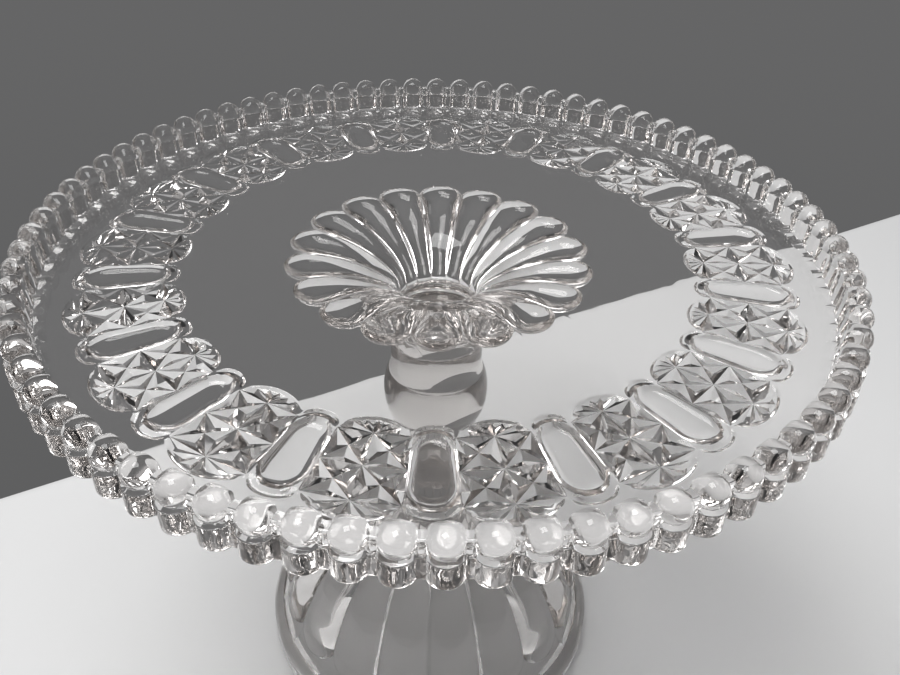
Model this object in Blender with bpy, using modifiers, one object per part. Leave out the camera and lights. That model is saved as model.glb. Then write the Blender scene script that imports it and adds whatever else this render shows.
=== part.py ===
"""A pressed glass cake stand in its three pressed and hot-joined pieces.

The cake plate carries a gallery of beads round its rim, a moulded band of medallions and
lozenges underneath, and a trumpet-shaped well whose underside is a flower of flutes. A wafer
of glass joins it to the pedestal: a short knopped stem on a hollow, fluted, bell-shaped foot.

Units are metres and +Z is up. The origin is the middle of the ring that the foot rests on.
Azimuth 0 is the -Y side and grows towards +X.
"""
import math
from collections import namedtuple

import bmesh
import bpy

TURN = 2.0 * math.pi
COLLECTION_NAME = "cake_stand"
FUSING_GAP = 0.0003                 # clearance between pieces that are fused hot

# Gallery of beads on short columns round the rim
BEAD_COUNT = 78
BEAD_RING_RADIUS = 0.1140
BEAD_RING_HEIGHT = 0.1660
BEAD_RADIUS = 0.0038
BEAD_AZIMUTH = math.radians(1.36)   # where the first bead stands
BEAD_WEB_RADIUS = 0.0011            # glass between two neighbouring beads
CREASE_RADIUS = 0.0026              # where a bead meets its column
CREASE_DROP = 0.0027                # from the beads' middle down to that crease
COLUMN_RADIUS = 0.0040
COLUMN_WEB_RADIUS = 0.0015
COLUMN_DROP = 0.0032                # from the beads' middle down to the columns' upper edge
COLUMN_FOOT_BEVEL = 0.0009
PANEL_SETBACK = 0.0038              # inner panels' feet, measured inwards from the bead ring
PANEL_LEAN = 0.0010                 # how much further out a panel's top edge stands
PANEL_RISE = 0.65                   # height of that edge, as a share of the bead above it
CHANNEL_DEPTH = 0.0009              # groove between two panels
CHANNEL_START = 0.4                 # share of the bead pitch from a panel's middle
STEPS_PER_BEAD = 4

# Plate
PLATE_TOP = 0.1601
PLATE_THICKNESS = 0.0038
PLATE_UNDERSIDE = PLATE_TOP - PLATE_THICKNESS
PLAIN_RIM_RADIUS = 0.1090           # underside, just inside the columns

# Moulded band of medallions and lozenges under the plate
REPEATS = 18                        # also the number of flutes in the flower and the foot
LOZENGE_HALF_ANGLE = math.radians(3.65)
MEDALLION_HALF_ANGLE = math.pi / REPEATS - LOZENGE_HALF_ANGLE
MEDALLION_RADII = (0.0726, 0.1030)  # inner and outer end, on its centre line
CORNER_RADII = (0.0762, 0.0994)     # where the medallion's ends meet its straight sides
LOZENGE_RADII = (0.0765, 0.1003)
MEDALLION_RELIEF = 0.0012
LOZENGE_RELIEF = 0.0017
RELIEF_DRAFT = 0.0008

# Well and flower
WELL_MOUTH_RADIUS = 0.0415
WELL_FLOOR_RADIUS = 0.0118
WELL_FLOOR = 0.1438
WELL_FLAT_SHARE = 0.9               # of the well's floor, before it curves up
FLOWER_RADIUS = 0.0450
FLOWER_NOTCH_RADIUS = 0.0412        # outline between two petals
FLOWER_END_INSET = 0.0022
FLOWER_END_SHARE = 0.8              # of the flutes' relief, at that inset
FLUTE_RELIEF = 0.0024
NECK_RADIUS = 0.0144
NECK_SHOULDER = 0.1376              # the flower's flutes end here
NECK_END = 0.1352

# Joining wafer
WAFER_RADIUS = 0.0150
WAFER_BOTTOM = 0.1284
WAFER_EDGE_RADIUS = 0.0014

# Pedestal
KNOP_RADIUS = 0.0168
KNOP_TOP = 0.1176
KNOP_BOTTOM = 0.0980
WAIST_RADIUS = 0.0132
WAIST_HEIGHT = 0.0880
FOOT_RADIUS = 0.0604
FOOT_RIM_HEIGHT = 0.0046
FOOT_RIM_UNDERCUT = (0.0600, 0.0012)  # radius and height of the rim's lower corner
FOOT_RIM_SHOULDER = (0.0568, 0.0100)
FOOT_FLUTE_START = 0.0780
FOOT_FLUTE_SWELL = 0.0200           # height over which a flute reaches its full relief
FOOT_FLUTE_END = 0.0150
FOOT_FLUTE_TIP = 0.0060             # height over which it ends
FOOT_FLUTE_RELIEF = 0.0022
FLUTE_LIFT = 0.4                    # upward part of a flute's relief on the sloping bell
FOOT_WALL = 0.0050
REST_RING_RADII = (0.0545, 0.0590)
HOLLOW_HEIGHTS = (0.006, 0.018, 0.030, 0.040, 0.048)
HOLLOW_CROWN = (0.0133, 0.0530)     # radius and height of the ring below its top
HOLLOW_TOP = 0.0560
KNOP_TURNS = (50, 20, -10, -40, -70)

# Bell of the foot: radius and height, from the waist down to the rim
BELL = (
    (WAIST_RADIUS, WAIST_HEIGHT),
    (0.0143, 0.0780),
    (0.0170, 0.0690),
    (0.0224, 0.0602),
    (0.0325, 0.0505),
    (0.0425, 0.0395),
    (0.0490, 0.0270),
    (0.0528, 0.0165),
    FOOT_RIM_SHOULDER,
)

PLAIN_STEPS = 36
WELL_STEPS = 48
PLATE_STEPS = 72
PATTERN_STEPS = REPEATS * 8
FLUTE_STEPS = REPEATS * 6
GALLERY_STEPS = BEAD_COUNT * STEPS_PER_BEAD

Ring = namedtuple("Ring", "phase verts")


# ---------------------------------------------------------------- building rings into solids

def add_ring(bm, count, section, phase=0.0):
    """A closed ring of points; section(azimuth) gives its radius and height there."""
    verts = []
    for step in range(count):
        azimuth = phase + step * TURN / count
        radius, height = section(azimuth)
        verts.append(bm.verts.new((radius * math.sin(azimuth), -radius * math.cos(azimuth), height)))
    return Ring(phase, verts)


def round_ring(bm, count, radius, height):
    """A plain circle of points."""
    return add_ring(bm, count, lambda azimuth: (radius, height))


def stitch(bm, first, second):
    """Faces between two neighbouring rings, which may differ in their number of points."""
    count_a = len(first.verts)
    count_b = len(second.verts)
    i = 0
    j = 0
    while i < count_a or j < count_b:
        a = first.verts[i % count_a]
        b = second.verts[j % count_b]
        a_next = first.verts[(i + 1) % count_a]
        b_next = second.verts[(j + 1) % count_b]
        if count_a == count_b:
            bm.faces.new((a, b, b_next, a_next))
            i += 1
            j += 1
            continue
        a_azimuth = first.phase + (i + 1) * TURN / count_a
        b_azimuth = second.phase + (j + 1) * TURN / count_b
        if j == count_b or (i < count_a and a_azimuth <= b_azimuth):
            bm.faces.new((a, b, a_next))
            i += 1
        else:
            bm.faces.new((a, b, b_next))
            j += 1


def close_ring(bm, ring, height, at_start):
    """A fan from a point on the axis to the first or last ring."""
    pole = bm.verts.new((0.0, 0.0, height))
    count = len(ring.verts)
    for step in range(count):
        here = ring.verts[step]
        after = ring.verts[(step + 1) % count]
        bm.faces.new((pole, here, after) if at_start else (pole, after, here))


def solid_of_rings(name, make_rings, start_height, end_height, material, collection):
    """A closed body lofted through rings, from a pole on its top to a pole underneath."""
    bm = bmesh.new()
    rings = make_rings(bm)
    close_ring(bm, rings[0], start_height, True)
    for first, second in zip(rings, rings[1:]):
        stitch(bm, first, second)
    close_ring(bm, rings[-1], end_height, False)
    mesh = bpy.data.meshes.new(name)
    bm.to_mesh(mesh)
    bm.free()
    return finish_object(name, mesh, material, collection)


def finish_object(name, mesh, material, collection):
    """An object of that mesh, smooth where it is round, in the object's collection."""
    mesh.materials.append(material)
    mesh.shade_smooth()
    mesh.set_sharp_from_angle(angle=math.radians(40))
    obj = bpy.data.objects.new(name, mesh)
    collection.objects.link(obj)
    return obj


# ---------------------------------------------------------------- repeating shapes

def from_nearest(azimuth, count, first=0.0):
    """Signed angle from the nearest of count evenly spaced azimuths."""
    pitch = TURN / count
    turns = (azimuth - first) / pitch
    return (turns - round(turns)) * pitch


def arch(offset, half_width):
    """1 in the middle of a rounded shape, falling to 0 at its edges like half an ellipse."""
    share = min(1.0, abs(offset) / half_width)
    return math.sqrt(1.0 - share * share)


def slice_radius(azimuth, radius, web_radius):
    """Radius of the slice that an azimuth cuts from the nearest bead or column."""
    across = from_nearest(azimuth, BEAD_COUNT, BEAD_AZIMUTH) * BEAD_RING_RADIUS
    return max(web_radius, math.sqrt(max(0.0, radius * radius - across * across)))


def flute(azimuth, first=0.0):
    """1 along the middle of a flute, 0 in the valleys between flutes."""
    return arch(from_nearest(azimuth, REPEATS, first), math.pi / REPEATS)


# ---------------------------------------------------------------- cake plate

def bead_section(tilt):
    """Points on the beads' round outer ends; tilt is 0 at the side and 90 degrees on top."""
    def section(azimuth):
        radius = slice_radius(azimuth, BEAD_RADIUS, BEAD_WEB_RADIUS)
        return (BEAD_RING_RADIUS + radius * math.cos(tilt),
                BEAD_RING_HEIGHT + radius * math.sin(tilt))
    return section


def crease_section(azimuth):
    """The groove between the beads and their columns."""
    radius = slice_radius(azimuth, CREASE_RADIUS, BEAD_WEB_RADIUS)
    return (BEAD_RING_RADIUS + radius, BEAD_RING_HEIGHT - CREASE_DROP)


def column_section(height, inset=0.0):
    """Points on the half-round columns that carry the beads."""
    def section(azimuth):
        radius = slice_radius(azimuth, COLUMN_RADIUS, COLUMN_WEB_RADIUS)
        return (BEAD_RING_RADIUS + radius - inset, height)
    return section


def panel_radius(azimuth):
    """Radius of the flat panels inside the gallery and of the channels between them."""
    offset = abs(from_nearest(azimuth, BEAD_COUNT, BEAD_AZIMUTH))
    recess = CHANNEL_DEPTH if offset > CHANNEL_START * TURN / BEAD_COUNT else 0.0
    return BEAD_RING_RADIUS - PANEL_SETBACK + recess


def panel_foot_section(azimuth):
    """The panels' feet on the plate."""
    return (panel_radius(azimuth), PLATE_TOP)


def panel_top_section(azimuth):
    """The panels' arched top edges, where the leaning panels cut the beads off."""
    rise = PANEL_RISE * slice_radius(azimuth, BEAD_RADIUS, BEAD_WEB_RADIUS)
    return (panel_radius(azimuth) + PANEL_LEAN, BEAD_RING_HEIGHT + rise)


def band_section(side, inset, depth_share):
    """Edge of the moulded band; side 0 is its inner outline and side 1 its outer one."""
    sign = -1.0 if side == 0 else 1.0

    def section(azimuth):
        from_lozenge = from_nearest(azimuth, REPEATS)
        if abs(from_lozenge) < LOZENGE_HALF_ANGLE:
            radius = LOZENGE_RADII[side]
            relief = MEDALLION_RELIEF
            relief += (LOZENGE_RELIEF - MEDALLION_RELIEF) * arch(from_lozenge, LOZENGE_HALF_ANGLE)
        else:
            from_medallion = math.pi / REPEATS - abs(from_lozenge)
            bow = MEDALLION_RADII[side] - CORNER_RADII[side]
            radius = CORNER_RADII[side] + bow * arch(from_medallion, MEDALLION_HALF_ANGLE)
            relief = MEDALLION_RELIEF
        return (radius - sign * inset, PLATE_UNDERSIDE - relief * depth_share)
    return section


def well_point(turn):
    """Upper side of the trumpet-shaped well; turn runs from its mouth (0) to its floor (90)."""
    angle = math.radians(turn)
    return (WELL_MOUTH_RADIUS - (WELL_MOUTH_RADIUS - WELL_FLOOR_RADIUS) * math.sin(angle),
            WELL_FLOOR + (PLATE_TOP - WELL_FLOOR) * math.cos(angle))


def flower_outline(azimuth):
    """Outline of the petals: round tips with notches between them."""
    return FLOWER_NOTCH_RADIUS + (FLOWER_RADIUS - FLOWER_NOTCH_RADIUS) * flute(azimuth)


def flower_section(turn, relief_share):
    """Underside of the well with its flutes; turn runs from the petal tips to the neck."""
    angle = math.radians(turn)
    span = FLOWER_NOTCH_RADIUS - NECK_RADIUS
    drop = PLATE_UNDERSIDE - NECK_SHOULDER

    def section(azimuth):
        relief = FLUTE_RELIEF * relief_share * flute(azimuth)
        radius = FLOWER_NOTCH_RADIUS - span * math.sin(angle) + relief * math.sin(angle)
        height = NECK_SHOULDER + drop * math.cos(angle) - relief * math.cos(angle)
        return (radius, height)
    return section


def petal_tip_section(azimuth):
    """The flutes a little way in from the petals' outline."""
    return (flower_outline(azimuth) - FLOWER_END_INSET * flute(azimuth),
            PLATE_UNDERSIDE - FLOWER_END_SHARE * FLUTE_RELIEF * flute(azimuth))


def plate_rings(bm):
    """All rings of the plate, from the well's floor over the rim to the neck below."""
    rings = [round_ring(bm, PLAIN_STEPS, WELL_FLAT_SHARE * WELL_FLOOR_RADIUS, WELL_FLOOR)]
    for turn in (78, 62, 46, 30, 15, 0):
        radius, height = well_point(turn)
        rings.append(round_ring(bm, WELL_STEPS, radius, height))
    rings.append(round_ring(bm, PLATE_STEPS, CORNER_RADII[0], PLATE_TOP))

    gallery = [
        panel_foot_section,
        panel_top_section,
        bead_section(math.radians(90)),
        bead_section(math.radians(60)),
        bead_section(math.radians(30)),
        bead_section(0.0),
        crease_section,
        column_section(BEAD_RING_HEIGHT - COLUMN_DROP),
        column_section(PLATE_UNDERSIDE + COLUMN_FOOT_BEVEL),
        column_section(PLATE_UNDERSIDE, COLUMN_FOOT_BEVEL),
    ]
    for section in gallery:
        rings.append(add_ring(bm, GALLERY_STEPS, section, BEAD_AZIMUTH))

    rings.append(round_ring(bm, PATTERN_STEPS, PLAIN_RIM_RADIUS, PLATE_UNDERSIDE))
    for side, inset, depth in ((1, 0.0, 0.0), (1, RELIEF_DRAFT, 1.0),
                               (0, RELIEF_DRAFT, 1.0), (0, 0.0, 0.0)):
        rings.append(add_ring(bm, PATTERN_STEPS, band_section(side, inset, depth)))

    rings.append(add_ring(bm, FLUTE_STEPS, lambda a: (flower_outline(a), PLATE_UNDERSIDE)))
    rings.append(add_ring(bm, FLUTE_STEPS, petal_tip_section))
    for turn, relief_share in ((25, 1.0), (45, 1.0), (65, 0.7), (82, 0.35)):
        rings.append(add_ring(bm, FLUTE_STEPS, flower_section(turn, relief_share)))
    rings.append(round_ring(bm, PLAIN_STEPS, NECK_RADIUS, NECK_SHOULDER))
    rings.append(round_ring(bm, PLAIN_STEPS, NECK_RADIUS, NECK_END))
    return rings


def make_cake_plate(material, collection):
    """The plate with its gallery, band, well and flower."""
    return solid_of_rings("cake_plate", plate_rings, WELL_FLOOR, NECK_END, material, collection)


# ---------------------------------------------------------------- joining wafer

def make_joining_wafer(material, collection):
    """A disc of glass with a rounded edge, turned about the axis."""
    top = NECK_END - FUSING_GAP
    edge = WAFER_RADIUS - WAFER_EDGE_RADIUS
    profile = [(0.0, top)]
    for step in range(4):
        angle = math.radians(90 - 30 * step)
        profile.append((edge + WAFER_EDGE_RADIUS * math.cos(angle),
                        top - WAFER_EDGE_RADIUS + WAFER_EDGE_RADIUS * math.sin(angle)))
    for step in range(4):
        angle = math.radians(-30 * step)
        profile.append((edge + WAFER_EDGE_RADIUS * math.cos(angle),
                        WAFER_BOTTOM + WAFER_EDGE_RADIUS + WAFER_EDGE_RADIUS * math.sin(angle)))
    profile.append((0.0, WAFER_BOTTOM))

    mesh = bpy.data.meshes.new("joining_wafer")
    points = [(radius, 0.0, height) for radius, height in profile]
    edges = [(i, i + 1) for i in range(len(points) - 1)]
    mesh.from_pydata(points, edges, [])
    obj = finish_object("joining_wafer", mesh, material, collection)
    screw = obj.modifiers.new("turned", "SCREW")
    screw.angle = TURN
    screw.steps = PLAIN_STEPS
    screw.render_steps = PLAIN_STEPS
    screw.use_merge_vertices = True
    screw.merge_threshold = 0.00001
    screw.use_smooth_shade = True
    return obj


# ---------------------------------------------------------------- pedestal

def bell_radius(height):
    """Radius of the foot's bell at a height, straight between its profile points."""
    for (upper_radius, upper), (lower_radius, lower) in zip(BELL, BELL[1:]):
        if height >= lower:
            share = min(1.0, (upper - height) / (upper - lower))
            return upper_radius + (lower_radius - upper_radius) * share
    return BELL[-1][0]


def foot_section(radius, height):
    """The bell with its flutes, which swell from the stem and end in round tips."""
    start = min(1.0, (FOOT_FLUTE_START - height) / FOOT_FLUTE_SWELL)
    end = min(1.0, (height - FOOT_FLUTE_END) / FOOT_FLUTE_TIP)
    share = max(0.0, min(start, end))
    half_turn = math.pi / REPEATS

    def section(azimuth):
        relief = FOOT_FLUTE_RELIEF * share * flute(azimuth, half_turn)
        return (radius + relief, height + FLUTE_LIFT * relief)
    return section


def pedestal_rings(bm):
    """All rings of the pedestal, from the stem's top down the outside and up the hollow."""
    top = WAFER_BOTTOM - FUSING_GAP
    neck_lines = [(NECK_RADIUS, top), (NECK_RADIUS, KNOP_TOP)]
    rings = [round_ring(bm, PLAIN_STEPS, radius, height) for radius, height in neck_lines]

    knop_middle = (KNOP_TOP + KNOP_BOTTOM) / 2
    knop_half = (KNOP_TOP - KNOP_BOTTOM) / 2
    for turn in KNOP_TURNS:
        angle = math.radians(turn)
        radius = WAIST_RADIUS + (KNOP_RADIUS - WAIST_RADIUS) * math.cos(angle)
        rings.append(round_ring(bm, PLAIN_STEPS, radius, knop_middle + knop_half * math.sin(angle)))

    rings.append(round_ring(bm, PLAIN_STEPS, *BELL[0]))
    for radius, height in BELL[1:-1]:
        rings.append(add_ring(bm, FLUTE_STEPS, foot_section(radius, height)))
    rings.append(round_ring(bm, PLATE_STEPS, *FOOT_RIM_SHOULDER))
    rings.append(round_ring(bm, PLATE_STEPS, FOOT_RADIUS, FOOT_RIM_HEIGHT))
    rings.append(round_ring(bm, PLATE_STEPS, *FOOT_RIM_UNDERCUT))
    rings.append(round_ring(bm, PLATE_STEPS, REST_RING_RADII[1], 0.0))
    rings.append(round_ring(bm, PLATE_STEPS, REST_RING_RADII[0], 0.0))

    for height in HOLLOW_HEIGHTS:
        rings.append(round_ring(bm, PLAIN_STEPS, bell_radius(height) - FOOT_WALL, height))
    rings.append(round_ring(bm, PLAIN_STEPS, *HOLLOW_CROWN))
    return rings


def make_pedestal(material, collection):
    """The stem with its knop and the hollow fluted foot, pressed in one."""
    start = WAFER_BOTTOM - FUSING_GAP
    return solid_of_rings("pedestal", pedestal_rings, start, HOLLOW_TOP, material, collection)


# ---------------------------------------------------------------- materials and assembly

def glass(name, color, roughness):
    """A clear glass whose tint shows where it is thick."""
    material = bpy.data.materials.new(name)
    material.use_nodes = True
    shader = material.node_tree.nodes["Principled BSDF"]
    shader.inputs["Base Color"].default_value = (*color, 1.0)
    shader.inputs["Roughness"].default_value = roughness
    shader.inputs["Metallic"].default_value = 0.0
    shader.inputs["IOR"].default_value = 1.52
    shader.inputs["Transmission Weight"].default_value = 1.0
    return material


def main():
    for obj in list(bpy.data.objects):
        bpy.data.objects.remove(obj, do_unlink=True)
    collection = bpy.data.collections.new(COLLECTION_NAME)
    bpy.context.scene.collection.children.link(collection)

    make_cake_plate(glass("plate_glass", (0.95, 0.94, 0.93), 0.02), collection)
    make_joining_wafer(glass("wafer_glass", (0.93, 0.91, 0.90), 0.03), collection)
    make_pedestal(glass("pedestal_glass", (0.94, 0.92, 0.91), 0.03), collection)


main()
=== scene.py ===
import math

import bmesh
import bpy
import numpy as np
from mathutils import Matrix, Vector


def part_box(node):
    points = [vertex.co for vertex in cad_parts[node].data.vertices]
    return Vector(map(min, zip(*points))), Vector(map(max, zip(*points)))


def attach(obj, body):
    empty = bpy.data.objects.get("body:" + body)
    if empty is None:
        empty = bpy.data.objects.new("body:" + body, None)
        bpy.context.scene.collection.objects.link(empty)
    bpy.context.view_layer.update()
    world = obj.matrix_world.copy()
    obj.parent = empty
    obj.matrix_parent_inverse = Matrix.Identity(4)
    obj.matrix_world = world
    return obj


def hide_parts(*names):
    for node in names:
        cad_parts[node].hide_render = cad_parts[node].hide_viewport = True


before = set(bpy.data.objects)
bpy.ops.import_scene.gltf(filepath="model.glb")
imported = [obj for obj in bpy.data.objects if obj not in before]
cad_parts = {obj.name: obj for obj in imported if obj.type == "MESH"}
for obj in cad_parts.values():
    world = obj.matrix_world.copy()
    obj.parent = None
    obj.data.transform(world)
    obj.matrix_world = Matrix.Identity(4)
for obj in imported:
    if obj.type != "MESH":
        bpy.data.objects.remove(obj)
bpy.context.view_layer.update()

# A pressed glass cake stand: plate, joining wafer and pedestal. Sizes are in metres in the
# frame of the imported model, and heights that the frame gives are read from it. Azimuth 0 is
# the -Y side and grows towards +X.

TURN = 2.0 * math.pi
REPEATS = 18                                  # medallions, lozenges, petals and foot flutes
SECTOR = TURN / REPEATS

# Gallery
BEAD_COUNT = 78
BEAD_PITCH = TURN / BEAD_COUNT
BEAD_AZIMUTH = math.radians(1.36)
BEAD_RING_RADIUS = 0.1140
BEAD_RING_HEIGHT = 0.1660
BEAD_RADIUS = 0.0038
BEAD_INNER_REACH = 0.0039                     # the beads' inner halves are drawn out inwards
WEB_RADIUS = 0.0009                           # glass between two beads
CREASE_TILT = 44                              # degrees below a bead's middle
CREASE_DROP = 0.0027
CREASE_SHARE = 0.98                           # how far the crease cuts in
COLUMN_RADIUS = 0.0040
COLUMN_WEB_RADIUS = 0.0014
COLUMN_DROP = 0.0030                          # from the beads' middle to the columns' tops
COLUMN_TOP_ROUND = 0.0003
COLUMN_FOOT_RADIUS = 0.0009
PANEL_SETBACK = 0.0038
PANEL_SLOPE = 0.115                           # how far the panels lean out as they rise
PANEL_HALF_WIDTH = 0.0029
CHANNEL_SETBACK = 0.0029
CHANNEL_SLOPE_WIDTH = 0.0010
FOOT_FILLET = 0.00015

# Plate
PLATE_TOP = 0.1601
PLATE_UNDERSIDE = 0.1563

# Moulded band under the plate
LOZENGE_HALF_ANGLE = math.radians(3.65)
MEDALLION_HALF_ANGLE = SECTOR / 2 - LOZENGE_HALF_ANGLE
STAR_ROWS = (0.0778, 0.0881, 0.0984)          # radii of the three stars of a medallion
MEDALLION_APEX = (0.0731, 0.1029)
LOZENGE_APEX = (0.0743, 0.1014)
GROOVE_LEVEL = 0.0003                         # above the plain underside
SIDE_LEVEL = 0.0001
PAD_DEPTH = 0.0006
FACET_SLOPE = 0.62
LOZENGE_DEPTH = 0.0016
LOZENGE_BORDER = 0.0020                       # flat rim at a lozenge's two ends
EDGE_WIDTH = 0.0010

# Flower and well
PETAL_TIP_RADIUS = 0.0071                     # of the petal's rounded end
PETAL_TIP_CENTRE = 0.0378
PETAL_RELIEF = 0.0034
FUNNEL_MOUTH = 0.0410
NECK_RADIUS = 0.0144
NECK_SHOULDER = 0.1376
NECK_END = 0.1352
WELL_MOUTH = 0.0415
WELL_FLOOR_RADIUS = 0.0120
WELL_FLOOR = 0.1438


# ---------------------------------------------------------------- meshes from rings

def around(radius, azimuth, height):
    """Points at a radius, an azimuth and a height; any of the three may be arrays."""
    radius, azimuth, height = np.broadcast_arrays(radius, azimuth, height)
    return np.stack([radius * np.sin(azimuth), -radius * np.cos(azimuth), height], axis=-1)


class Skin:
    """A surface gathered from rings of points and from single patches, welded at the end."""

    def __init__(self):
        self.points = []
        self.faces = []
        self.flat = []
        self.count = 0

    def add_points(self, points):
        first = self.count
        self.points.append(points)
        self.count += len(points)
        return np.arange(first, self.count)

    def add_faces(self, faces, flat=False):
        self.faces.extend(faces)
        self.flat.extend([flat] * len(faces))

    def add_rings(self, rings):
        """A band of faces through closed rings, which may differ in their number of points."""
        indices = [self.add_points(ring) for ring in rings]
        for first, second in zip(indices, indices[1:]):
            if len(first) == len(second):
                quads = np.stack([first, second, np.roll(second, -1), np.roll(first, -1)], axis=1)
                self.add_faces(quads.tolist())
            else:
                self.add_faces(self.zip_rings(rings, indices, first, second))

    def zip_rings(self, rings, indices, first, second):
        """Triangles between two rings of unlike counts, matched by azimuth."""
        everything = np.concatenate(self.points)
        turns = []
        for ring in (first, second):
            place = everything[ring]
            azimuth = np.unwrap(np.arctan2(place[:, 0], -place[:, 1]))
            turns.append(np.append(azimuth, azimuth[0] + TURN))
        faces = []
        i = 0
        j = 0
        while i < len(first) or j < len(second):
            a = first[i % len(first)]
            b = second[j % len(second)]
            if j == len(second) or (i < len(first) and turns[0][i + 1] <= turns[1][j + 1]):
                i += 1
                faces.append((int(a), int(b), int(first[i % len(first)])))
            else:
                j += 1
                faces.append((int(a), int(b), int(second[j % len(second)])))
        return faces

    def close(self, ring, height):
        """A fan from the axis to a ring."""
        rim = self.add_points(ring)
        pole = int(self.add_points(np.array([[0.0, 0.0, height]]))[0])
        after = np.roll(rim, -1)
        self.add_faces([(pole, int(a), int(b)) for a, b in zip(rim, after)])

    def build(self, name, material, weld=2e-6, sharp=35):
        """A welded mesh object whose faces look outwards."""
        mesh = bpy.data.meshes.new(name)
        mesh.from_pydata(np.concatenate(self.points).tolist(), [], self.faces)
        mesh.polygons.foreach_set("use_smooth", np.logical_not(self.flat))
        bm = bmesh.new()
        bm.from_mesh(mesh)
        bmesh.ops.remove_doubles(bm, verts=bm.verts, dist=weld)
        bmesh.ops.recalc_face_normals(bm, faces=bm.faces)
        bm.to_mesh(mesh)
        bm.free()
        mesh.set_sharp_from_angle(angle=math.radians(sharp))
        mesh.materials.append(material)
        piece = bpy.data.objects.new(name, mesh)
        bpy.context.scene.collection.objects.link(piece)
        return piece


def circle(radius, height, count=REPEATS * 16):
    """A plain ring of points."""
    return around(radius, np.arange(count) * TURN / count, height)


def smooth_step(value):
    value = np.clip(value, 0.0, 1.0)
    return value * value * (3.0 - 2.0 * value)


def half_round(share):
    """Height of a half circle over its width: 1 in the middle, 0 at the edges."""
    return np.sqrt(np.clip(1.0 - np.square(share), 0.0, 1.0))


# ---------------------------------------------------------------- gallery

def gallery_offsets():
    """Distances along the ring from a bead's middle, closer together towards its edges."""
    half = BEAD_PITCH * BEAD_RING_RADIUS / 2
    on_bead = BEAD_RADIUS * np.sin(np.radians(np.linspace(-78, 78, 24)))
    return np.append(on_bead, half)


def gallery_rings():
    """Rings up the leaning inner panels, over the beads and down their columns."""
    offsets = gallery_offsets()
    azimuth = np.concatenate([BEAD_AZIMUTH + i * BEAD_PITCH + offsets / BEAD_RING_RADIUS
                              for i in range(BEAD_COUNT)])
    across = np.tile(offsets, BEAD_COUNT)
    bead = np.maximum(WEB_RADIUS, BEAD_RADIUS * half_round(across / BEAD_RADIUS))
    column = np.maximum(COLUMN_WEB_RADIUS, COLUMN_RADIUS * half_round(across / COLUMN_RADIUS))
    crease_radius = CREASE_SHARE * math.sqrt(BEAD_RADIUS ** 2 - CREASE_DROP ** 2)
    crease = np.maximum(WEB_RADIUS, crease_radius * half_round(across / crease_radius))
    channel = smooth_step((np.abs(across) - PANEL_HALF_WIDTH) / CHANNEL_SLOPE_WIDTH)
    inner = -PANEL_SETBACK + (PANEL_SETBACK - CHANNEL_SETBACK) * channel
    foot = PLATE_TOP - BEAD_RING_HEIGHT

    def ring(out, up):
        return around(BEAD_RING_RADIUS + out, azimuth, BEAD_RING_HEIGHT + up)

    def cap(tilt):
        """Points on the beads' inner halves; tilt is 90 degrees on top."""
        return BEAD_INNER_REACH * np.cos(tilt), bead * np.sin(tilt)

    # Where the leaning panel meets the bead, found by halving the range of tilts
    low = np.full_like(bead, math.radians(90))
    high = np.full_like(bead, math.radians(175))
    for _ in range(24):
        middle = (low + high) / 2
        out, up = cap(middle)
        inside = out > inner + PANEL_SLOPE * (up - foot)
        low = np.where(inside, middle, low)
        high = np.where(inside, high, middle)
    edge_out, edge_up = cap(low)

    rings = []
    for turn in np.radians((0, 45, 90)):
        inset = FOOT_FILLET * (1 - np.sin(turn))
        rings.append(ring(inner - inset, foot + FOOT_FILLET * (1 - np.cos(turn))))
    for share in (0.25, 0.5, 0.75, 1.0):
        rise = FOOT_FILLET + (edge_up - foot - FOOT_FILLET) * share
        rings.append(ring(inner + (edge_out - inner) * share, foot + rise))
    for share in np.linspace(0.0, 1.0, 12)[1:]:
        rings.append(ring(*cap(low + (math.radians(90) - low) * share)))
    for tilt in np.radians(np.linspace(90, -CREASE_TILT, 26))[1:]:
        rings.append(ring(bead * np.cos(tilt), bead * np.sin(tilt)))
    rings.append(ring(crease, -CREASE_DROP))
    for turn in np.radians((0, 30, 60, 90)):
        drop = COLUMN_DROP + COLUMN_TOP_ROUND * (1 - np.cos(turn))
        rings.append(ring(column - COLUMN_TOP_ROUND * (1 - np.sin(turn)), -drop))
    bottom = foot - (PLATE_TOP - PLATE_UNDERSIDE)
    top = -COLUMN_DROP - COLUMN_TOP_ROUND
    for share in (0.25, 0.5, 0.75, 1.0):
        rings.append(ring(column, top + (bottom + COLUMN_FOOT_RADIUS - top) * share))
    for turn in np.radians((22.5, 45, 67.5, 90)):
        inset = COLUMN_FOOT_RADIUS * (1 - np.cos(turn))
        rings.append(ring(column - inset, bottom + COLUMN_FOOT_RADIUS * (1 - np.sin(turn))))
    return rings


# ---------------------------------------------------------------- moulded band

def arc_through(corner_radius, corner_angle, apex):
    """Middle and radius of the circle through an apex on the centre line and two corners."""
    x = corner_radius * math.sin(corner_angle)
    y = corner_radius * math.cos(corner_angle)
    middle = (apex ** 2 - x ** 2 - y ** 2) / (2 * (apex - y))
    return middle, abs(apex - middle)


def ray_radius(middle, radius, angle, side):
    """Where a ray from the axis meets a circle, on its outer (1) or inner (-1) side."""
    half = np.clip(radius ** 2 - (middle * np.sin(angle)) ** 2, 0.0, None)
    return middle * np.cos(angle) + side * np.sqrt(half)


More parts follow.
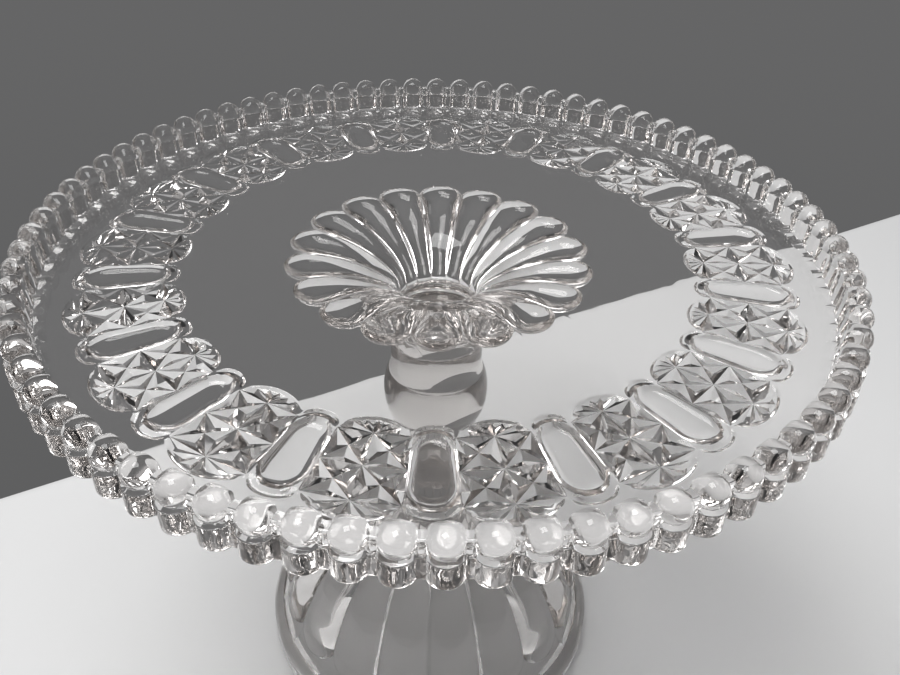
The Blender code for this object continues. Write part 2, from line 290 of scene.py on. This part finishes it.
def outline_radius(angle, side, grow=0.0):
    """The band's scalloped outline at angles from a lozenge's centre line."""
    row = STAR_ROWS[0] if side < 0 else STAR_ROWS[2]
    apex = 0 if side < 0 else 1
    from_lozenge = (angle + SECTOR / 2) % SECTOR - SECTOR / 2
    from_medallion = SECTOR / 2 - np.abs(from_lozenge)
    results = []
    for offset, half_angle, apex_radius in (
        (from_lozenge, LOZENGE_HALF_ANGLE, LOZENGE_APEX[apex]),
        (from_medallion, MEDALLION_HALF_ANGLE, MEDALLION_APEX[apex]),
    ):
        middle, radius = arc_through(row, half_angle, apex_radius)
        results.append(ray_radius(middle, radius + grow, offset, side))
    return np.maximum(*results) if side > 0 else np.minimum(*results)


LOZENGE_STEPS = 24
MEDALLION_WEDGES = 6
WEDGE_STEPS = 4
ROW_STEPS = 24                                # along a lozenge, between two star rows


def sector_angles():
    """Angles of the outline's points in one sector, from a lozenge's left edge on."""
    lozenge = np.linspace(-LOZENGE_HALF_ANGLE, LOZENGE_HALF_ANGLE, LOZENGE_STEPS + 1)
    medallion = np.linspace(LOZENGE_HALF_ANGLE, SECTOR - LOZENGE_HALF_ANGLE,
                            MEDALLION_WEDGES * WEDGE_STEPS + 1)
    return np.concatenate([lozenge, medallion[1:-1]])


def outline_level(angle):
    """Depth of the band's edge below the plain underside: least where two arcs meet."""
    from_lozenge = np.abs((angle + SECTOR / 2) % SECTOR - SECTOR / 2)
    inside = from_lozenge < LOZENGE_HALF_ANGLE
    share = np.where(inside, from_lozenge / LOZENGE_HALF_ANGLE,
                     (SECTOR / 2 - from_lozenge) / MEDALLION_HALF_ANGLE)
    rise = smooth_step(2.2 * (1.0 - share))
    return SIDE_LEVEL + (-PAD_DEPTH - SIDE_LEVEL) * rise


def outline_ring(side, grow, depth_share):
    """The whole outline, grown outwards from the band and brought to the plain underside."""
    angles = sector_angles()
    radius = outline_radius(angles, side, grow)
    level = outline_level(angles) * depth_share
    rings = [around(radius, angles + i * SECTOR, PLATE_UNDERSIDE + level) for i in range(REPEATS)]
    return np.concatenate(rings)


def lozenge_patch():
    """Points and faces of one lozenge: a rounded bar with rounded ends."""
    angles = np.linspace(-LOZENGE_HALF_ANGLE, LOZENGE_HALF_ANGLE, LOZENGE_STEPS + 1)
    inner = outline_radius(angles, -1)
    outer = outline_radius(angles, 1)
    along = np.linspace(0.0, 1.0, 2 * ROW_STEPS + 1)[:, None]
    radius = inner + (outer - inner) * along
    across = np.abs(angles / LOZENGE_HALF_ANGLE) * np.ones_like(radius)
    to_end = np.minimum(radius - inner, outer - radius)
    half_width = radius * LOZENGE_HALF_ANGLE
    past_bar = np.clip((LOZENGE_BORDER + half_width - to_end) / half_width, 0.0, None)
    bar = np.clip(1.0 - across ** 3 - past_bar ** 3, 0.0, None) ** 0.5
    border = (1.0 - smooth_step(to_end / LOZENGE_BORDER)) * smooth_step(2.2 * (1.0 - across))
    depth = np.maximum((LOZENGE_DEPTH + SIDE_LEVEL) * bar, (PAD_DEPTH + SIDE_LEVEL) * border)
    points = around(radius, angles, PLATE_UNDERSIDE + SIDE_LEVEL - depth).reshape(-1, 3)
    width = LOZENGE_STEPS + 1
    faces = [(r * width + c, r * width + c + 1, (r + 1) * width + c + 1, (r + 1) * width + c)
             for r in range(2 * ROW_STEPS) for c in range(LOZENGE_STEPS)]
    return points, faces


def incentre(corners):
    """Middle of a triangle's inscribed circle, seen from above, and that circle's radius."""
    a, b, c = corners
    sides = np.array([np.linalg.norm((b - c)[:2]), np.linalg.norm((c - a)[:2]),
                      np.linalg.norm((a - b)[:2])])
    middle = (sides[:, None] * np.array(corners)).sum(axis=0) / sides.sum()
    area = abs((b - a)[0] * (c - a)[1] - (b - a)[1] * (c - a)[0]) / 2
    return middle, 2 * area / sides.sum()


def medallion_patch():
    """Points and faces of one medallion: three stars of grooves with pyramids between them."""
    centre = SECTOR / 2
    edge = MEDALLION_HALF_ANGLE
    groove = PLATE_UNDERSIDE + GROOVE_LEVEL
    side = PLATE_UNDERSIDE + SIDE_LEVEL
    star = [around(r, centre, groove) for r in STAR_ROWS]
    points = []
    faces = []

    def pyramid(border, corners):
        """Facets from a border of points up to a peak in the middle."""
        middle, inradius = incentre(corners)
        peak = np.array([middle[0], middle[1], middle[2] - FACET_SLOPE * inradius])
        first = len(points)
        points.extend(border)
        points.append(peak)
        top = len(points) - 1
        count = len(border)
        faces.extend([(first + i, first + (i + 1) % count, top) for i in range(count)])

    for hand in (-1, 1):
        corner = [around(r, centre + hand * edge, side) for r in STAR_ROWS]
        for row in (0, 1):
            near, far = star[row], star[row + 1]
            out_near, out_far = corner[row], corner[row + 1]
            cross = (near + far + out_near + out_far) / 4
            cross[2] = groove
            shares = np.linspace(0.0, 1.0, ROW_STEPS + 1)
            radii = STAR_ROWS[row] + (STAR_ROWS[row + 1] - STAR_ROWS[row]) * shares
            side_line = list(around(radii, centre + hand * edge, side))
            pyramid([near, far, cross], (near, far, cross))
            pyramid([near, out_near, cross], (near, out_near, cross))
            pyramid([far, out_far, cross], (far, out_far, cross))
            pyramid(side_line + [cross], (out_near, out_far, cross))

    angles = np.linspace(centre - edge, centre + edge, MEDALLION_WEDGES * WEDGE_STEPS + 1)
    for row, sign in ((0, -1), (2, 1)):
        arc = around(outline_radius(angles, sign), angles, PLATE_UNDERSIDE + outline_level(angles))
        for wedge in range(MEDALLION_WEDGES):
            rim = list(arc[wedge * WEDGE_STEPS:(wedge + 1) * WEDGE_STEPS + 1])
            pyramid([star[row]] + rim, (star[row], rim[0], rim[-1]))
    return np.array(points), faces


def turned(points, angle):
    """Points turned about the axis."""
    c, s = math.cos(angle), math.sin(angle)
    return points @ np.array([[c, s, 0.0], [-s, c, 0.0], [0.0, 0.0, 1.0]])


def add_band(skin):
    """All medallions and lozenges, and the rounded edges round them."""
    for make_patch, flat in ((lozenge_patch, False), (medallion_patch, True)):
        points, faces = make_patch()
        for i in range(REPEATS):
            first = int(skin.add_points(turned(points, i * SECTOR))[0])
            skin.add_faces([tuple(first + v for v in face) for face in faces], flat)
    shares = np.linspace(0.0, 1.0, 9)
    for side, beyond in ((1, 0.1080), (-1, 0.0560)):
        rings = [outline_ring(side, EDGE_WIDTH * share, 1.0 - smooth_step(share)) for share in shares]
        rings.append(outline_ring(side, EDGE_WIDTH + 0.0001, 0.0))
        rings.append(circle(beyond, PLATE_UNDERSIDE))
        skin.add_rings(rings)


# ---------------------------------------------------------------- flower and well

def funnel_point(turn):
    """Underside of the funnel before its flutes, with its outward direction; turn is 0 to 90."""
    span = FUNNEL_MOUTH - NECK_RADIUS
    drop = PLATE_UNDERSIDE - NECK_SHOULDER
    angle = math.radians(turn)
    radius = FUNNEL_MOUTH - span * math.sin(angle)
    height = NECK_SHOULDER + drop * math.cos(angle)
    normal = np.array([drop * math.sin(angle), -span * math.cos(angle)])
    return radius, height, normal / np.linalg.norm(normal)


def add_flower(skin):
    """The petals' outline, their rounded ends and the flutes down to the neck."""
    steps = 32
    within = np.linspace(-SECTOR / 2, SECTOR / 2, steps + 1)[:-1]
    azimuth = np.concatenate([within + i * SECTOR for i in range(REPEATS)])
    angle = np.tile(within, REPEATS)
    outline = ray_radius(PETAL_TIP_CENTRE, PETAL_TIP_RADIUS, angle, 1)

    def relief(radius):
        along = radius * np.cos(angle) - PETAL_TIP_CENTRE
        width = np.minimum(PETAL_TIP_RADIUS, 1.07 * radius * math.sin(SECTOR / 2))
        share = (radius * np.sin(angle) / width) ** 2
        share = share + (np.clip(along, 0.0, None) / PETAL_TIP_RADIUS) ** 2
        return np.clip(1.0 - share, 0.0, None) ** 0.5

    rings = [circle(0.0560, PLATE_UNDERSIDE)]
    rings.append(around(outline + 0.0004, azimuth, PLATE_UNDERSIDE))
    inner = 0.0330
    for share in 1.0 - np.cos(np.radians(np.linspace(0, 90, 18))):
        radius = outline + (inner - outline) * share
        base = np.full_like(radius, PLATE_UNDERSIDE)
        inside = np.clip((FUNNEL_MOUTH - radius) / (FUNNEL_MOUTH - NECK_RADIUS), 0.0, 1.0)
        base = NECK_SHOULDER + (PLATE_UNDERSIDE - NECK_SHOULDER) * np.sqrt(1.0 - inside ** 2)
        rings.append(around(radius, azimuth, base - PETAL_RELIEF * relief(radius)))
    start = math.degrees(math.asin((FUNNEL_MOUTH - inner) / (FUNNEL_MOUTH - NECK_RADIUS)))
    for turn in np.linspace(start, 90, 40)[1:]:
        radius, height, normal = funnel_point(turn)
        fade = 1.0 - 0.9 * smooth_step((turn - 50) / 40)
        raised = PETAL_RELIEF * fade * relief(np.full_like(azimuth, radius))
        blend = smooth_step((turn - start) / 15)
        out = raised * normal[0] * blend
        up = raised * (normal[1] * blend - (1.0 - blend))
        rings.append(around(radius + out, azimuth, height + up))
    rings.append(around(NECK_RADIUS, azimuth, NECK_SHOULDER - 0.0006))
    rings.append(around(NECK_RADIUS, azimuth, NECK_END))
    skin.add_rings(rings)
    skin.close(rings[-1], NECK_END)


def add_well(skin):
    """The smooth upper side: plate, trumpet mouth and the well's rounded floor."""
    count = REPEATS * 16
    rings = [circle(0.1070, PLATE_TOP, count), circle(0.0800, PLATE_TOP, count),
             circle(0.0550, PLATE_TOP, count)]
    corner = 0.0025
    span = WELL_MOUTH - WELL_FLOOR_RADIUS
    drop = PLATE_TOP - WELL_FLOOR - corner
    for turn in np.radians(np.linspace(0, 90, 60)):
        radius = WELL_MOUTH - span * np.sin(turn)
        rings.append(circle(radius, WELL_FLOOR + corner + drop * np.cos(turn), count))
    for turn in np.radians(np.linspace(15, 90, 6)):
        radius = WELL_FLOOR_RADIUS - corner * (1 - np.cos(turn))
        rings.append(circle(radius, WELL_FLOOR + corner * (1 - np.sin(turn)), count))
    for share in (0.66, 0.33):
        rings.append(circle((WELL_FLOOR_RADIUS - corner) * share, WELL_FLOOR, count))
    skin.add_rings(rings)
    skin.close(rings[-1], WELL_FLOOR)


def make_plate(material):
    """The plate, pressed in one with its gallery, band and flower."""
    skin = Skin()
    gallery = gallery_rings()
    skin.add_rings([circle(0.1070, PLATE_TOP)] + gallery + [circle(0.1080, PLATE_UNDERSIDE)])
    add_band(skin)
    add_flower(skin)
    add_well(skin)
    return skin.build("plate_glass", material)


# ---------------------------------------------------------------- wafer and pedestal

def make_wafer(material):
    """The disc of glass between plate and stem, squeezed out a little at its edge."""
    low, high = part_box("joining_wafer")
    skin = Skin()
    edge = WAFER_EDGE
    rings = []
    for turn in np.radians(np.linspace(90, 0, 9)):
        rings.append(circle(high.x - edge * (1 - np.cos(turn)), high.z - edge * (1 - np.sin(turn))))
    for turn in np.radians(np.linspace(0, 90, 9)):
        rings.append(circle(high.x - edge * (1 - np.cos(turn)), low.z + edge * (1 - np.sin(turn))))
    skin.add_rings(rings)
    skin.close(rings[0], high.z)
    skin.close(rings[-1], low.z)
    return skin.build("wafer_glass", material)


WAFER_EDGE = 0.0014                           # round edge of the wafer
KNOP_RADIUS = 0.0168
KNOP_TOP = 0.1176
KNOP_BOTTOM = 0.0980
WAIST_RADIUS = 0.0132
FOOT_RADIUS = 0.0604
FOOT_RIM_START = (0.0568, 0.0100)             # where the bell ends and its rim begins
FLUTE_RELIEF = 0.0034
FLUTE_TIP = 0.0086                            # length of a flute's rounded end
FLUTE_STOP = 0.0045                           # from the flutes' ends to the rim
FOOT_WALL = 0.0052
HOLLOW_CROWN = 0.0040                         # rise of the hollow's rounded top
BELL = (
    (WAIST_RADIUS, 0.0880), (0.0143, 0.0780), (0.0170, 0.0690), (0.0224, 0.0602),
    (0.0325, 0.0505), (0.0425, 0.0395), (0.0490, 0.0270), (0.0528, 0.0165), FOOT_RIM_START,
)


def spline(points, count):
    """Points at even distances along a smooth curve through the given ones."""
    points = np.array(points)
    padded = np.vstack([2 * points[0] - points[1], points, 2 * points[-1] - points[-2]])
    fine = []
    for i in range(1, len(padded) - 2):
        p0, p1, p2, p3 = padded[i - 1:i + 3]
        for t in np.linspace(0, 1, 24, endpoint=False):
            fine.append(0.5 * (2 * p1 + (p2 - p0) * t + (2 * p0 - 5 * p1 + 4 * p2 - p3) * t ** 2
                               + (3 * p1 - p0 - 3 * p2 + p3) * t ** 3))
    fine.append(points[-1])
    fine = np.array(fine)
    length = np.append(0.0, np.cumsum(np.linalg.norm(np.diff(fine, axis=0), axis=1)))
    even = np.linspace(0.0, length[-1], count)
    return np.stack([np.interp(even, length, fine[:, 0]), np.interp(even, length, fine[:, 1])], 1)


def make_pedestal(material):
    """The stem with its knop and the hollow, fluted foot."""
    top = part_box("pedestal")[1].z
    skin = Skin()
    count = REPEATS * 32
    rings = [circle(NECK_RADIUS, top, count), circle(NECK_RADIUS, KNOP_TOP + 0.0015, count)]
    knop_middle = (KNOP_TOP + KNOP_BOTTOM) / 2
    knop_half = (KNOP_TOP - KNOP_BOTTOM) / 2
    for turn in np.radians(np.linspace(62, -78, 30)):
        radius = WAIST_RADIUS + (KNOP_RADIUS - WAIST_RADIUS) * math.cos(turn)
        rings.append(circle(radius, knop_middle + knop_half * math.sin(turn), count))

    bell = spline(BELL, 90)
    slope = np.gradient(bell, axis=0)
    normal = np.stack([-slope[:, 1], slope[:, 0]], axis=1)
    normal /= np.linalg.norm(normal, axis=1)[:, None]
    length = np.append(0.0, np.cumsum(np.linalg.norm(np.diff(bell, axis=0), axis=1)))
    flute_end = length[-1] - FLUTE_STOP
    half_turn = SECTOR / 2
    azimuth = np.arange(count) * TURN / count
    angle = (azimuth % SECTOR) - half_turn

    end_here = flute_end - FLUTE_TIP + FLUTE_TIP * half_round(angle / (1.01 * half_turn))
    for share in np.linspace(0.0, 1.0, 70):
        along = end_here * share ** 0.9
        radius = np.interp(along, length, bell[:, 0])
        height = np.interp(along, length, bell[:, 1])
        n_out = np.interp(along, length, normal[:, 0])
        n_up = np.interp(along, length, normal[:, 1])
        past = np.clip(along - (flute_end - FLUTE_TIP), 0.0, None) / FLUTE_TIP
        raised = np.clip(1.0 - (angle / (1.01 * half_turn)) ** 2 - past ** 2, 0.0, None) ** 0.5
        raised = raised * FLUTE_RELIEF * smooth_step((along - length[8]) / 0.03)
        rings.append(around(radius + n_out * raised, azimuth, height + n_up * raised))
    rings.append(circle(*FOOT_RIM_START, count))
    for turn in np.radians(np.linspace(15, 90, 8)):
        rings.append(circle(0.0568 + 0.0036 * np.sin(turn), 0.0060 + 0.0040 * np.cos(turn), count))
    rings.append(circle(FOOT_RADIUS, 0.0020, count))
    for turn in np.radians(np.linspace(15, 90, 6)):
        rings.append(circle(0.0590 + 0.0014 * np.cos(turn), 0.0014 - 0.0014 * np.sin(turn), count))
    rings.append(circle(0.0545, 0.0, count))
    for turn in np.radians(np.linspace(15, 90, 6)):
        rings.append(circle(0.0545 - 0.0012 * np.sin(turn), 0.0012 * (1 - np.cos(turn)), count))

    hollow = bell - normal * FOOT_WALL
    hollow = hollow[(hollow[:, 1] > 0.004) & (hollow[:, 1] < 0.0525) & (hollow[:, 0] > 0.012)][::-1]
    for radius, height in hollow:
        rings.append(circle(radius, height, count))
    crown = hollow[-1]
    for share in (0.8, 0.6, 0.4, 0.2):
        rings.append(circle(crown[0] * share, crown[1] + HOLLOW_CROWN * (1 - share ** 2), count))
    skin.add_rings(rings)
    skin.close(rings[0], top)
    skin.close(rings[-1], crown[1] + HOLLOW_CROWN)
    return skin.build("pedestal_glass", material)


# ---------------------------------------------------------------- materials

def glass_material(name, tint, density):
    """Fire-polished pressed glass: faint waves, a little dust in patches, tint by depth."""
    material = bpy.data.materials.new(name)
    material.use_nodes = True
    nodes = material.node_tree.nodes
    links = material.node_tree.links
    shader = nodes["Principled BSDF"]
    shader.inputs["Base Color"].default_value = (0.99, 0.988, 0.985, 1.0)
    shader.inputs["IOR"].default_value = 1.52
    shader.inputs["Transmission Weight"].default_value = 1.0
    coordinates = nodes.new("ShaderNodeTexCoord")

    smudge = nodes.new("ShaderNodeTexNoise")
    smudge.inputs["Scale"].default_value = 55.0
    smudge.inputs["Detail"].default_value = 4.0
    links.new(coordinates.outputs["Object"], smudge.inputs["Vector"])
    roughness = nodes.new("ShaderNodeMapRange")
    roughness.inputs["From Min"].default_value = 0.45
    roughness.inputs["From Max"].default_value = 0.80
    roughness.inputs["To Min"].default_value = 0.0
    roughness.inputs["To Max"].default_value = 0.05
    links.new(smudge.outputs["Fac"], roughness.inputs["Value"])
    links.new(roughness.outputs["Result"], shader.inputs["Roughness"])

    waves = nodes.new("ShaderNodeTexNoise")
    waves.inputs["Scale"].default_value = 90.0
    waves.inputs["Detail"].default_value = 1.0
    links.new(coordinates.outputs["Object"], waves.inputs["Vector"])
    bump = nodes.new("ShaderNodeBump")
    bump.inputs["Strength"].default_value = 0.12
    bump.inputs["Distance"].default_value = 0.0002
    links.new(waves.outputs["Fac"], bump.inputs["Height"])
    links.new(bump.outputs["Normal"], shader.inputs["Normal"])

    absorption = nodes.new("ShaderNodeVolumeAbsorption")
    absorption.inputs["Color"].default_value = (*tint, 1.0)
    absorption.inputs["Density"].default_value = density
    links.new(absorption.outputs["Volume"], nodes["Material Output"].inputs["Volume"])
    return material


def cloth_material():
    """Plain pale cloth on the table."""
    material = bpy.data.materials.new("table_cloth")
    material.use_nodes = True
    nodes = material.node_tree.nodes
    links = material.node_tree.links
    shader = nodes["Principled BSDF"]
    shader.inputs["Roughness"].default_value = 0.9
    noise = nodes.new("ShaderNodeTexNoise")
    noise.inputs["Scale"].default_value = 6.0
    ramp = nodes.new("ShaderNodeMapRange")
    ramp.inputs["To Min"].default_value = 0.50
    ramp.inputs["To Max"].default_value = 0.56
    links.new(noise.outputs["Fac"], ramp.inputs["Value"])
    links.new(ramp.outputs["Result"], shader.inputs["Base Color"])
    return material


# ---------------------------------------------------------------- stage

TABLE_GAP = 0.0003                            # the foot's own unevenness keeps it off the cloth


def make_table():
    """A pale cloth over a table whose far edge runs behind the stand."""
    edge_point = Vector((0.0, 0.163, -TABLE_GAP))
    edge_turn = math.radians(29.3)
    reach = 6.0
    bend = 0.012
    drop = 0.30
    profile = [(-reach, 0.0), (-bend, 0.0)]
    for step in range(1, 9):
        turn = math.radians(90 * step / 8)
        profile.append((-bend + bend * math.sin(turn), bend * (math.cos(turn) - 1)))
    profile.append((0.0, -drop))
    verts = []
    faces = []
    for along in (-reach, reach):
        for across, height in profile:
            verts.append((along, across, height))
    count = len(profile)
    for i in range(count - 1):
        faces.append((i, i + count, i + count + 1, i + 1))
    mesh = bpy.data.meshes.new("table")
    mesh.from_pydata(verts, [], faces)
    mesh.shade_smooth()
    mesh.materials.append(cloth_material())
    table = bpy.data.objects.new("table", mesh)
    table.location = edge_point
    table.rotation_euler = (0.0, 0.0, edge_turn)
    bpy.context.scene.collection.objects.link(table)


def make_world():
    """Soft room light: a grey wall behind, a pale ceiling and a pale room in front."""
    world = bpy.data.worlds.new("room")
    bpy.context.scene.world = world
    world.use_nodes = True
    nodes = world.node_tree.nodes
    links = world.node_tree.links
    background = nodes["Background"]
    coordinates = nodes.new("ShaderNodeTexCoord")
    split = nodes.new("ShaderNodeSeparateXYZ")
    links.new(coordinates.outputs["Generated"], split.inputs["Vector"])

    def ramp(values):
        node = nodes.new("ShaderNodeValToRGB")
        elements = node.color_ramp.elements
        while len(elements) < len(values):
            elements.new(0.5)
        for element, (place, value) in zip(elements, values):
            element.position = place
            element.color = (value, value, value * 1.01, 1.0)
        return node

    up = nodes.new("ShaderNodeMapRange")
    up.inputs["From Min"].default_value = -1.0
    links.new(split.outputs["Z"], up.inputs["Value"])
    wall = ramp(((0.0, 0.10), (0.35, 0.13), (0.62, 0.14), (0.80, 0.45), (1.0, 0.80)))
    room = ramp(((0.0, 0.20), (0.45, 0.20), (0.62, 0.30), (0.80, 0.42), (1.0, 0.55)))
    links.new(up.outputs["Result"], wall.inputs["Fac"])
    links.new(up.outputs["Result"], room.inputs["Fac"])
    behind = nodes.new("ShaderNodeMapRange")
    behind.interpolation_type = "SMOOTHSTEP"
    behind.inputs["From Min"].default_value = -0.3
    behind.inputs["From Max"].default_value = 0.4
    links.new(split.outputs["Y"], behind.inputs["Value"])
    mix = nodes.new("ShaderNodeMix")
    mix.data_type = "RGBA"
    links.new(behind.outputs["Result"], mix.inputs["Factor"])
    links.new(room.outputs["Color"], mix.inputs["A"])
    links.new(wall.outputs["Color"], mix.inputs["B"])
    links.new(mix.outputs["Result"], background.inputs["Color"])


def area_light(name, location, target, size, power, glossy=True, roll=0.0):
    """A square soft light aimed at a point."""
    data = bpy.data.lights.new(name, "AREA")
    data.shape = "SQUARE"
    data.size = size
    data.energy = power
    light = bpy.data.objects.new(name, data)
    direction = Vector(target) - Vector(location)
    turn = direction.to_track_quat("-Z", "Y").to_matrix().to_4x4() @ Matrix.Rotation(roll, 4, "Z")
    light.matrix_world = Matrix.Translation(location) @ turn
    light.visible_glossy = glossy
    bpy.context.scene.collection.objects.link(light)


def make_lights():
    top = (0.0, 0.0, BEAD_RING_HEIGHT)
    area_light("window", (-0.08, -0.18, 0.95), top, 0.44, 3.6, roll=math.radians(45))
    area_light("side", (-0.55, 0.25, 1.5), top, 1.0, 20.0, glossy=False)


def make_camera():
    """A hand-held view from above the front, tilted slightly to one side."""
    location = Vector((0.0, -0.2242, 0.2938))
    target = Vector((0.0041, 0.0, 0.1291))
    data = bpy.data.cameras.new("camera")
    data.sensor_width = 36.0
    data.lens = 35.6
    data.clip_start = 0.01
    camera = bpy.data.objects.new("camera", data)
    turn = (target - location).to_track_quat("-Z", "Y").to_matrix().to_4x4()
    roll = Matrix.Rotation(math.radians(2.08), 4, "Z")
    camera.matrix_world = Matrix.Translation(location) @ turn @ roll
    bpy.context.scene.collection.objects.link(camera)
    bpy.context.scene.camera = camera


def main():
    scene = bpy.context.scene
    scene.view_settings.view_transform = "Standard"
    scene.cycles.use_denoising = True
    scene.cycles.max_bounces = 24
    scene.cycles.transmission_bounces = 24
    scene.cycles.glossy_bounces = 12
    make_camera()
    make_world()
    make_lights()
    make_table()
    glass = glass_material("pressed_glass", (0.72, 0.69, 0.67), 32.0)
    for make_piece, node in ((make_plate, "cake_plate"), (make_wafer, "joining_wafer"),
                             (make_pedestal, "pedestal")):
        piece = make_piece(glass)
        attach(piece, "root")
        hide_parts(node)


main()
